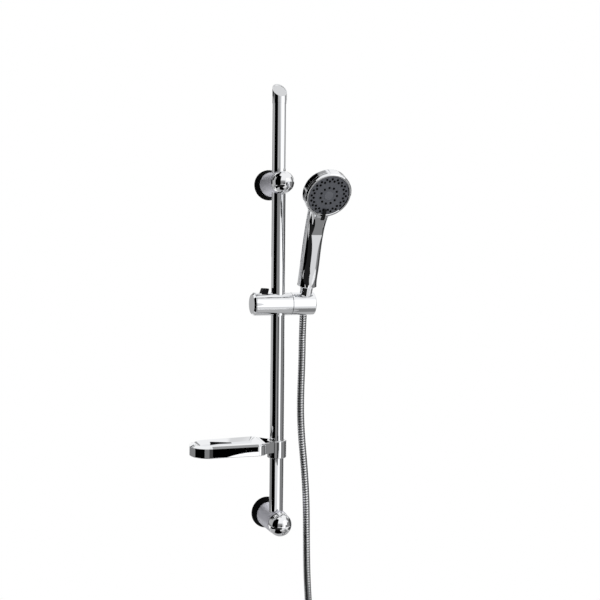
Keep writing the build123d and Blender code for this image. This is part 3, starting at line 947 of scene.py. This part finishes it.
@dataclass(frozen=True)
class SoftLamp:
    """A square lamp that shines at the slider from an angle right of the camera."""

    name: str
    azimuth: float
    height: float
    power: float
    size: float = 1.4


@dataclass(frozen=True)
class RoundCard:
    """A round studio card that faces the rail, moved sideways from its heading."""

    name: str
    azimuth: float
    distance: float
    side_step: float
    height: float
    radius: float
    grade: Grade


@dataclass
class Studio:
    """Camera, floor, world, lamps and the cards round the object.

    Lengths are in metres, angles in degrees and the camera's own measures in pixels of the picture.
    """

    azimuth: float = -20.0
    distance: float = 1.6
    focal_px: float = 900.0
    eye_height: float = 0.4798
    side_step: float = 0.0386
    horizon_px: float = 251.0
    roll: float = 0.49
    sensor_mm: float = 36.0
    near_clip: float = 0.01
    far_clip: float = 100.0
    rail_y: float = -0.059
    floor_height: float = -1.0
    floor_radius: float = 2.1
    circle_sides: int = 96
    soft_light: float = 0.55
    lamp_distance: float = 2.2
    lamp_target_height: float = 0.4
    top_fade_start: float = 0.4
    side_fade_width: float = 0.2
    lamps: list[SoftLamp] = field(
        default_factory=lambda: [
            SoftLamp("key_lamp", azimuth=40.0, height=1.2, power=34.0),
            SoftLamp("fill_lamp", azimuth=-40.0, height=0.6, power=14.0),
        ]
    )
    level_cards: list[LevelCard] = field(
        default_factory=lambda: [
            LevelCard("floor_middle", Vector((0.0, 0.1, -0.985)), (2.4, 2.4), Grade.LIGHT),
            LevelCard("floor_left", Vector((-2.18, 0.27, -0.983)), (1.5, 2.4), Grade.BLACK),
            LevelCard("floor_dark", Vector((-0.51, -0.51, -0.981)), (1.1, 1.1), Grade.BLACK, turn=-45.0),
            LevelCard("floor_far_right", Vector((2.12, 0.57, -0.983)), (1.5, 2.4), Grade.DIM),
            LevelCard("floor_right", Vector((0.825, -0.7, -0.982)), (0.5, 1.3), Grade.MID, turn=7.2),
            LevelCard("floor_flag", Vector((-1.53, -1.64, -0.98)), (3.8, 2.1), Grade.SHADE, turn=-43.0),
            LevelCard("floor_softbox", Vector((1.0, -2.2, -0.975)), (1.5, 1.7), Grade.BRIGHT, turn=22.0),
            LevelCard("ceiling_cap", Vector((0.62, 0.25, 2.6)), (0.5, 0.34), Grade.BRIGHT, edge=Edge.SOFT),
            LevelCard("ceiling_head", Vector((-0.1, 0.72, 2.6)), (1.1, 0.6), Grade.PALE, edge=Edge.SOFT),
            LevelCard("ceiling_lip", Vector((0.56, 0.98, 2.6)), (0.36, 0.3), Grade.PALE, edge=Edge.SOFT),
            LevelCard("ceiling_strip", Vector((0.765, 1.25, 2.6)), (0.33, 0.2), Grade.DIM),
        ]
    )
    cards: list[StudioCard] = field(
        default_factory=lambda: [
            StudioCard("left_fill", -150.0, -82.0, Grade.LIGHT, low=-0.45),
            StudioCard("left_low", -150.0, -82.0, Grade.MID, high=-0.45),
            StudioCard("left_flag", -82.0, -21.0, Grade.BLACK, high=6.0),
            StudioCard("front_fill", -21.0, 8.0, Grade.LIGHT, low=0.9, high=1.7, edge=Edge.SOFT_TOP),
            StudioCard("front_middle", -21.0, 8.0, Grade.MID, low=-0.6, high=0.9),
            StudioCard("front_foot", -21.0, 37.0, Grade.BRIGHT, high=-0.6),
            StudioCard("front_line", 6.0, 24.0, Grade.MID, low=0.15, high=1.7, edge=Edge.SOFT_TOP),
            StudioCard("front_line_low", 5.0, 24.0, Grade.DIM, low=-0.6, high=0.15, distance=2.95),
            StudioCard("front_wing", 24.0, 37.0, Grade.BRIGHT, low=-0.6, high=1.7, edge=Edge.SOFT_TOP),
            StudioCard("right_softbox", 37.0, 75.0, Grade.WHITE, low=0.15, high=2.9),
            StudioCard("softbox_foot", 37.0, 56.0, Grade.WHITE, high=0.15),
            StudioCard("right_low", 56.0, 75.0, Grade.MID, high=0.15),
            StudioCard("right_fill", 75.0, 110.0, Grade.MID, high=0.9),
            StudioCard("right_top", 98.0, 130.0, Grade.MID, low=0.9),
            StudioCard("right_back", 110.0, 150.0, Grade.DIM, high=0.9),
            StudioCard("head_back", -150.0, -129.0, Grade.BLACK, low=0.45, high=1.25, distance=2.9),
            StudioCard("head_back_top", -136.0, -108.0, Grade.BLACK, low=1.25, high=2.5, distance=2.9),
            StudioCard("right_back_top", 138.0, 172.0, Grade.PALE, low=1.25, high=2.3),
            StudioCard("back_top", -172.0, -146.0, Grade.DIM, low=1.27, high=1.7),
            StudioCard("basin_flag", 172.0, 192.0, Grade.BLACK, low=-0.5, high=-0.1),
            StudioCard("dish_flag", 22.0, 28.5, Grade.BLACK, low=-0.57, high=-0.44, distance=2.9),
        ]
    )
    flags: list[LocalFlag] = field(
        default_factory=lambda: [
            LocalFlag(
                "hose_flag",
                centre=Vector((0.029, -0.0495, 0.18)),
                target=Vector((0.054, -0.041, 0.18)),
                size=(0.012, 0.32),
            ),
            LocalFlag(
                "head_flag",
                centre=Vector((-0.165, 0.025, 0.885)),
                target=Vector((0.025, -0.185, 0.6)),
                size=(0.32, 0.3),
            ),
        ]
    )
    dish_disc: RoundCard = RoundCard(
        "dish_disc",
        azimuth=26.0,
        distance=2.88,
        side_step=0.13,
        height=-1.006,
        radius=0.5,
        grade=Grade.WHITE,
    )

    def heading(self, azimuth: float) -> Vector:
        """Give a level direction from the rail.

        Args:
            azimuth: angle right of the camera.

        Returns:
            A direction one metre long.
        """
        angle = math.radians(self.azimuth + azimuth)
        return Vector((math.sin(angle), -math.cos(angle), 0.0))

    def make_camera(self) -> None:
        """Place the camera where the photograph was taken from."""
        data = bpy.data.cameras.new("photo_camera")
        data.sensor_width = self.sensor_mm
        data.lens = self.focal_px / IMAGE_SIDE * self.sensor_mm
        data.shift_y = -(IMAGE_SIDE / 2 - self.horizon_px) / IMAGE_SIDE
        data.clip_start = self.near_clip
        data.clip_end = self.far_clip
        camera = bpy.data.objects.new("photo_camera", data)
        bpy.context.scene.collection.objects.link(camera)
        back = self.heading(0.0)
        right = Vector((-back.y, back.x, 0.0))
        place = Vector((0.0, self.rail_y, self.eye_height)) + back * self.distance + right * self.side_step
        turn = Matrix.Rotation(math.radians(self.azimuth), 4, "Z")
        level = Matrix.Rotation(math.radians(90.0), 4, "X")
        lean = Matrix.Rotation(math.radians(self.roll), 4, "Z")
        camera.matrix_world = Matrix.Translation(place) @ turn @ level @ lean
        bpy.context.scene.camera = camera

    def glow(self, name: str, grade: Grade, edge: Edge) -> bpy.types.Material:
        """Make the glowing material of a studio card.

        Args:
            name: name of the material.
            grade: brightness, where one is white.
            edge: how the card ends.

        Returns:
            An emission material, which fades to clear at a soft edge.
        """
        material = bpy.data.materials.new(name)
        material.use_nodes = True
        tree = material.node_tree
        tree.nodes.clear()
        light = add_node(tree, "ShaderNodeEmission", {"Strength": grade.value})
        surface = light.outputs["Emission"]
        if edge is not Edge.HARD:
            clear = add_node(tree, "ShaderNodeBsdfTransparent")
            mix = add_node(tree, "ShaderNodeMixShader", links={"Fac": self.fade(tree, edge)})
            tree.links.new(clear.outputs["BSDF"], mix.inputs[1])
            tree.links.new(surface, mix.inputs[2])
            surface = mix.outputs["Shader"]
        add_node(tree, "ShaderNodeOutputMaterial", links={"Surface": surface})
        return material

    def fade(self, tree: bpy.types.NodeTree, edge: Edge) -> bpy.types.NodeSocket:
        """Work out how much of a soft card shows at each place on it.

        Args:
            tree: node tree of the card's material.
            edge: SOFT for all four sides, SOFT_TOP for the upper one alone.

        Returns:
            A socket with one where the card is whole and nought at its soft edge.
        """
        place = add_node(tree, "ShaderNodeTexCoord")
        parts = add_node(tree, "ShaderNodeSeparateXYZ", links={"Vector": place.outputs["UV"]})
        if edge is Edge.SOFT_TOP:
            return spread(tree, parts.outputs["Y"], (1.0, 0.0), (self.top_fade_start, 1.0))
        shares = []
        for axis in ("X", "Y"):
            inward = calculate(tree, "PINGPONG", parts.outputs[axis], 0.5)
            ramp = add_node(
                tree,
                "ShaderNodeMapRange",
                {"From Min": 0.0, "From Max": self.side_fade_width},
                {"Value": inward},
                interpolation_type="SMOOTHSTEP",
            )
            shares.append(ramp.outputs["Result"])
        return calculate(tree, "MULTIPLY", *shares)

    def hide_from_view(self, card: bpy.types.Object) -> None:
        """Let only reflections see a card.

        Args:
            card: the card's object.
        """
        card.visible_camera = False
        card.visible_diffuse = False
        card.visible_shadow = False

    def make_panel(self, name: str, place: Matrix, grade: Grade, edge: Edge) -> None:
        """Stand one square card that only reflections see.

        Args:
            name: name of the card.
            place: its place, turn and size.
            grade: its brightness.
            edge: how it ends.
        """
        deselect_all()
        bpy.ops.mesh.primitive_plane_add(size=1.0)
        panel = bpy.context.active_object
        panel.name = name
        panel.matrix_world = place
        panel.data.materials.append(self.glow(name, grade, edge))
        self.hide_from_view(panel)

    def make_card(self, card: StudioCard) -> None:
        """Stand one card round the object.

        Args:
            card: its place, width and brightness.
        """
        out = self.heading((card.start + card.end) / 2)
        width = 2 * card.distance * math.tan(math.radians((card.end - card.start) / 2))
        middle = Vector((0.0, self.rail_y, (card.low + card.high) / 2)) + out * card.distance
        across = Vector((-out.y, out.x, 0.0)) * width
        up = Vector((0.0, 0.0, card.high - card.low))
        columns = Matrix((across, up, -out)).transposed().to_4x4()
        self.make_panel(card.name, Matrix.Translation(middle) @ columns, card.grade, card.edge)

    def make_level_card(self, card: LevelCard) -> None:
        """Lay one level card above or below the object.

        Args:
            card: its place, size, turn and brightness.
        """
        turn = Matrix.Rotation(math.radians(card.turn), 4, "Z")
        size = Matrix.Diagonal((*card.size, 1.0, 1.0))
        self.make_panel(card.name, Matrix.Translation(card.centre) @ turn @ size, card.grade, card.edge)

    def make_flag(self, flag: LocalFlag) -> None:
        """Stand one small black card near the object.

        Args:
            flag: its place, its target and its size.
        """
        aim = (flag.target - flag.centre).to_track_quat("Z", "Y").to_matrix().to_4x4()
        size = Matrix.Diagonal((*flag.size, 1.0, 1.0))
        place = Matrix.Translation(flag.centre) @ aim @ size
        self.make_panel(flag.name, place, Grade.BLACK, Edge.SOFT)

    def make_round_card(self, card: RoundCard) -> None:
        """Stand the round card, whose rim cuts the dish flag's lower edge in an arc.

        Args:
            card: its place, size and brightness.
        """
        deselect_all()
        bpy.ops.mesh.primitive_circle_add(
            vertices=self.circle_sides, radius=card.radius, fill_type="NGON"
        )
        disc = bpy.context.active_object
        disc.name = card.name
        out = self.heading(card.azimuth)
        across = Vector((-out.y, out.x, 0.0))
        foot = Vector((0.0, self.rail_y, card.height))
        middle = foot + out * card.distance + across * card.side_step
        columns = Matrix((across, Vector((0.0, 0.0, 1.0)), -out)).transposed().to_4x4()
        disc.matrix_world = Matrix.Translation(middle) @ columns
        disc.data.materials.append(self.glow(disc.name, card.grade, Edge.HARD))
        self.hide_from_view(disc)

    def make_floor(self) -> None:
        """Lay the pale round floor under the object."""
        deselect_all()
        bpy.ops.mesh.primitive_circle_add(
            vertices=self.circle_sides,
            radius=self.floor_radius,
            fill_type="NGON",
            location=(0.0, 0.0, self.floor_height),
        )
        floor = bpy.context.active_object
        floor.name = "studio_floor"
        floor.data.materials.append(FLOOR_PAPER.make())

    def make_world(self) -> None:
        """Show white behind the object and light it softly from all round."""
        world = bpy.data.worlds.new("white_studio")
        bpy.context.scene.world = world
        world.use_nodes = True
        tree = world.node_tree
        tree.nodes.clear()
        path = add_node(tree, "ShaderNodeLightPath")
        seen = calculate(
            tree, "MAXIMUM", path.outputs["Is Camera Ray"], path.outputs["Is Glossy Ray"]
        )
        through = calculate(tree, "MAXIMUM", seen, path.outputs["Is Transmission Ray"])
        mix = add_node(tree, "ShaderNodeMixShader", links={"Fac": through})
        for entry, strength in zip(mix.inputs[1:], (self.soft_light, 1.0)):
            light = add_node(
                tree, "ShaderNodeBackground", {"Color": linear("#ffffff"), "Strength": strength}
            )
            tree.links.new(light.outputs["Background"], entry)
        add_node(tree, "ShaderNodeOutputWorld", links={"Surface": mix.outputs["Shader"]})

    def make_lamp(self, lamp: SoftLamp) -> None:
        """Hang one soft lamp that shines at the slider.

        Args:
            lamp: its place, power and size.
        """
        data = bpy.data.lights.new(lamp.name, "AREA")
        data.energy = lamp.power
        data.size = lamp.size
        light = bpy.data.objects.new(lamp.name, data)
        bpy.context.scene.collection.objects.link(light)
        target = Vector((0.0, self.rail_y, self.lamp_target_height))
        reach = self.heading(lamp.azimuth) * self.lamp_distance
        place = target + reach + Vector((0.0, 0.0, lamp.height))
        aim = (target - place).to_track_quat("-Z", "Y").to_matrix().to_4x4()
        light.matrix_world = Matrix.Translation(place) @ aim
        light.visible_glossy = False

    def build(self) -> None:
        """Build the whole studio."""
        bpy.context.scene.view_settings.view_transform = "Standard"
        self.make_camera()
        self.make_world()
        self.make_floor()
        for lamp in self.lamps:
            self.make_lamp(lamp)
        for card in self.cards:
            self.make_card(card)
        for card in self.level_cards:
            self.make_level_card(card)
        for flag in self.flags:
            self.make_flag(flag)
        self.make_round_card(self.dish_disc)
        LOG.info("studio ready")


def dress_small_metal(steel: bpy.types.Material) -> None:
    """Dress the screws.

    Args:
        steel: finish of the screws.
    """
    dress(steel, "bracket_grub_screws", "holder_pivot_screw", "face_screw", "dish_clamp_screw")


def main() -> None:
    """Build the studio and dress each sub-assembly."""
    logging.basicConfig(level=logging.INFO, format="%(message)s")
    Studio().build()
    Hose().build()
    chrome = CHROME.make()
    guide = GUIDE_WHITE.make()
    plate = PLATE_BLACK.make()
    steel = SCREW_STEEL.make()
    RailSet().build(chrome, plate)
    SliderSet().build(chrome, guide)
    Handset().build(chrome, guide)
    LeafSpring().build(steel)
    DishSet().build(guide)
    dress_small_metal(steel)
    dress(chrome, "hose_end_sleeve", "hose_end_nut")
    dress(plate, "hose_tie")


if __name__ == "__main__":
    main()
